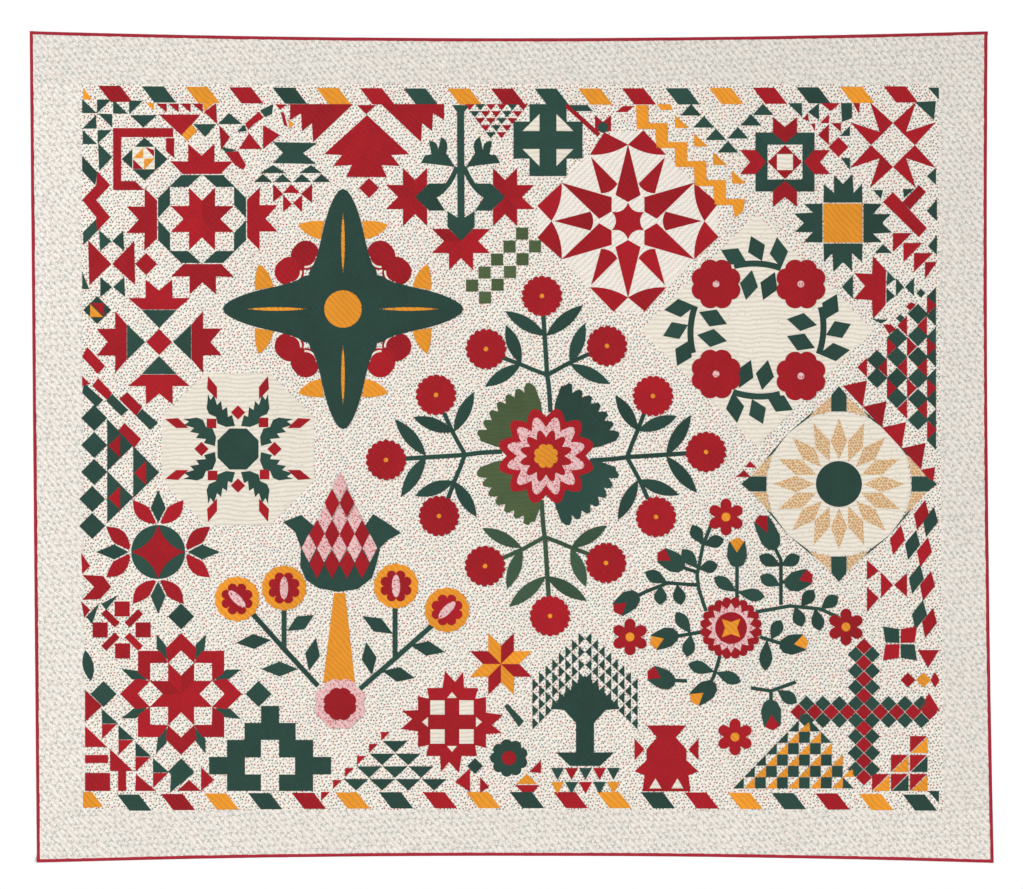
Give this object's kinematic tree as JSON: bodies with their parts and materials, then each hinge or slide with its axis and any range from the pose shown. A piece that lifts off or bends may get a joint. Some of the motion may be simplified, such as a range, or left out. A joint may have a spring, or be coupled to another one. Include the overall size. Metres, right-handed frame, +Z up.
{
  "type": "sampler quilt on a hanging slat",
  "caption": "Wide pieced and applique sampler quilt with folded red binding, hung from a wooden slat through a sleeve on its back, with flat end plates for a wall or rack.",
  "frame": {"origin": "on the wall plane, at the middle of the slat's length and height", "axes": "+X along the slat to the viewer's right, +Z up, -Y out of the wall towards the viewer"},
  "size_m": [2.4498, 0.0307, 2.1139],
  "materials": {
    "border_print": "matt cotton with a fine pale sprig print",
    "ground_print": "matt cotton with tiny dots",
    "red_cloth": "matt plain cotton",
    "green_cloth": "matt plain cotton",
    "orange_cloth": "matt plain cotton",
    "pink_cloth": "matt cotton with small red specks",
    "backing_cloth": "matt plain cotton",
    "batting_wadding": "loose cotton wadding",
    "slat_wood": "sanded and sealed pine",
    "plate_steel": "satin"
  },
  "bodies": {
    "hanger": {"slat": "slat_wood", "end_plate_left": "plate_steel", "end_plate_right": "plate_steel", "screw_left": "plate_steel", "screw_right": "plate_steel"},
    "quilt": {"backing": "backing_cloth", "basket_block": "red_cloth", "batting": "batting_wadding", "binding_bottom": "red_cloth", "binding_left": "red_cloth", "binding_right": "red_cloth", "binding_top": "red_cloth", "border_bottom": "border_print", "border_left": "border_print", "border_right": "border_print", "border_top": "border_print", "centre_oak_leaves": "green_cloth", "centre_rose": "red_cloth", "centre_rose_ring": "pink_cloth", "centre_spray": "green_cloth", "checker_path": "green_cloth", "checker_triangle": "orange_cloth", "compass_block": "red_cloth", "corner_sampler": "green_cloth", "cross_block": "green_cloth", "diamond_checker": "red_cloth", "eight_point_star": "orange_cloth", "feathered_star": "green_cloth", "field_ground": "ground_print", "filler_flower_patch": "green_cloth", "four_flower_block": "red_cloth", "hanging_sleeve": "backing_cloth", "harlequin_strip": "red_cloth", "kaleidoscope_block": "red_cloth", "left_strips": "green_cloth", "lily_spray": "green_cloth", "lower_left_corner": "red_cloth", "melon_flower": "green_cloth", "oak_cross": "green_cloth", "oak_cross_disc": "orange_cloth", "oak_cross_petals": "red_cloth", "on_point_cross_corner": "red_cloth", "pine_block": "red_cloth", "pyramid_block": "green_cloth", "ribbon_strip_bottom": "border_print", "ribbon_strip_top": "border_print", "right_edge_crosses": "red_cloth", "rose_vine": "green_cloth", "rose_wreath": "green_cloth", "sawtooth_star_block": "green_cloth", "star_cross_block": "red_cloth", "stepped_cross": "green_cloth", "sunflower_plate": "ground_print", "tree_of_life": "green_cloth", "tulip_pot": "orange_cloth", "tulip_ring_block": "green_cloth", "wheel_block_lower": "red_cloth", "wheel_block_upper": "red_cloth", "zigzag_and_geese": "orange_cloth"}
  },
  "joints": [
    {"name": "quilt_slide", "type": "slide", "parent": "hanger", "child": "quilt", "axis": [1, 0, 0], "range_m": [-0.036, 0.036]}
  ]
}
